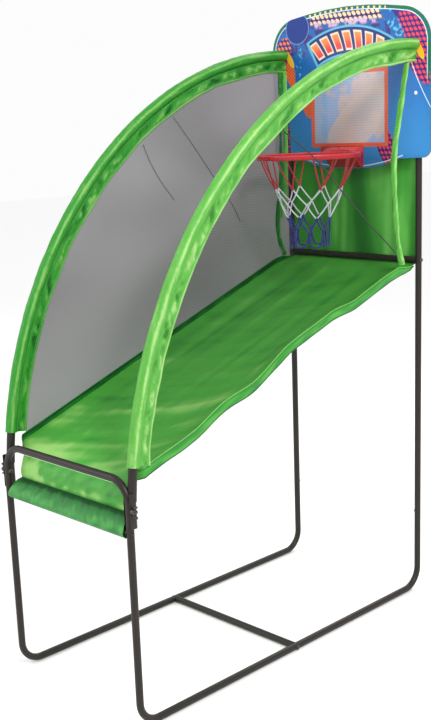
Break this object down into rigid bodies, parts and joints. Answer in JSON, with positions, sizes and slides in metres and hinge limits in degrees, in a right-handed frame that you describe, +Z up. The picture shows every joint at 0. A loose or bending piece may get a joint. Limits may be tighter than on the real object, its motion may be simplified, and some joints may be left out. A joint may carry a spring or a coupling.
{
  "type": "basketball hoop machine",
  "caption": "Free-standing basketball hoop game for children: tube frame with arched mesh sides, printed backboard, rim and net, and a sloping fabric ramp that rolls the ball back.",
  "frame": {"origin": "on the floor, at the bottom centre of the bounding box", "axes": "+Z up; +Y towards the backboard, the player stands at -Y; +X is the player's right"},
  "size_m": [0.5, 0.9862, 1.4825],
  "materials": {
    "frame_tube": "dark brown-grey powder coat, slightly glossy",
    "steel_fastener": "blackened steel",
    "white_screw": "white enamel",
    "green_satin": "shiny polyester satin",
    "green_strap": "light green woven binding",
    "grey_mesh": "fine see-through net",
    "printed_board": "printed face, satin varnish",
    "red_plastic": "glossy moulding",
    "net_cord": "knotted cord in three colours",
    "black_plastic": "moulded, matt"
  },
  "bodies": {
    "machine": {"left_floor_frame": "frame_tube", "right_floor_frame": "frame_tube", "left_rear_upright": "frame_tube", "right_rear_upright": "frame_tube", "left_arch_lower_tube": "frame_tube", "right_arch_lower_tube": "frame_tube", "left_arch_upper_tube": "frame_tube", "right_arch_upper_tube": "frame_tube", "left_arch_elbow": "black_plastic", "right_arch_elbow": "black_plastic", "left_wing_bolt": "steel_fastener", "right_wing_bolt": "steel_fastener", "left_crossbar_bolt": "steel_fastener", "right_crossbar_bolt": "steel_fastener", "left_floor_tube_bolt": "steel_fastener", "right_floor_tube_bolt": "steel_fastener", "left_rim_screw": "steel_fastener", "right_rim_screw": "steel_fastener", "left_board_screw": "white_screw", "right_board_screw": "white_screw", "left_arch_sleeve": "green_satin", "right_arch_sleeve": "green_satin", "left_side_mesh": "grey_mesh", "right_side_mesh": "grey_mesh", "left_rear_strap": "green_strap", "right_rear_strap": "green_strap", "front_gate_hoop": "frame_tube", "front_lower_bar": "frame_tube", "rear_crossbar": "frame_tube", "floor_cross_tube": "frame_tube", "backboard": "printed_board", "rim": "red_plastic", "net": "net_cord", "ramp": "green_satin", "front_hem": "green_satin", "back_panel": "green_satin"},
    "left_wing_nut": {"left_wing_nut": "steel_fastener"},
    "right_wing_nut": {"right_wing_nut": "steel_fastener"},
    "left_front_snap_button": {"left_front_snap_button": "steel_fastener"},
    "right_front_snap_button": {"right_front_snap_button": "steel_fastener"},
    "left_rear_snap_button": {"left_rear_snap_button": "steel_fastener"},
    "right_rear_snap_button": {"right_rear_snap_button": "steel_fastener"}
  },
  "joints": [
    {"name": "left_wing_nut_turn", "type": "hinge", "parent": "machine", "child": "left_wing_nut", "pos_m": [-0.208, -0.48315, 0.476], "axis": [-1, 0, 0], "continuous": true},
    {"name": "left_front_snap_button_press", "type": "slide", "parent": "machine", "child": "left_front_snap_button", "axis": [1, 0, 0], "range_m": [0, 0.003], "stiffness_N_per_m": 2000, "springref_m": -0.001},
    {"name": "left_rear_snap_button_press", "type": "slide", "parent": "machine", "child": "left_rear_snap_button", "axis": [-1, 0, 0], "range_m": [0, 0.003], "stiffness_N_per_m": 2000, "springref_m": -0.001},
    {"name": "right_wing_nut_turn", "type": "hinge", "parent": "machine", "child": "right_wing_nut", "pos_m": [0.208, -0.48315, 0.476], "axis": [1, 0, 0], "continuous": true},
    {"name": "right_front_snap_button_press", "type": "slide", "parent": "machine", "child": "right_front_snap_button", "axis": [-1, 0, 0], "range_m": [0, 0.003], "stiffness_N_per_m": 2000, "springref_m": -0.001},
    {"name": "right_rear_snap_button_press", "type": "slide", "parent": "machine", "child": "right_rear_snap_button", "axis": [1, 0, 0], "range_m": [0, 0.003], "stiffness_N_per_m": 2000, "springref_m": -0.001}
  ]
}
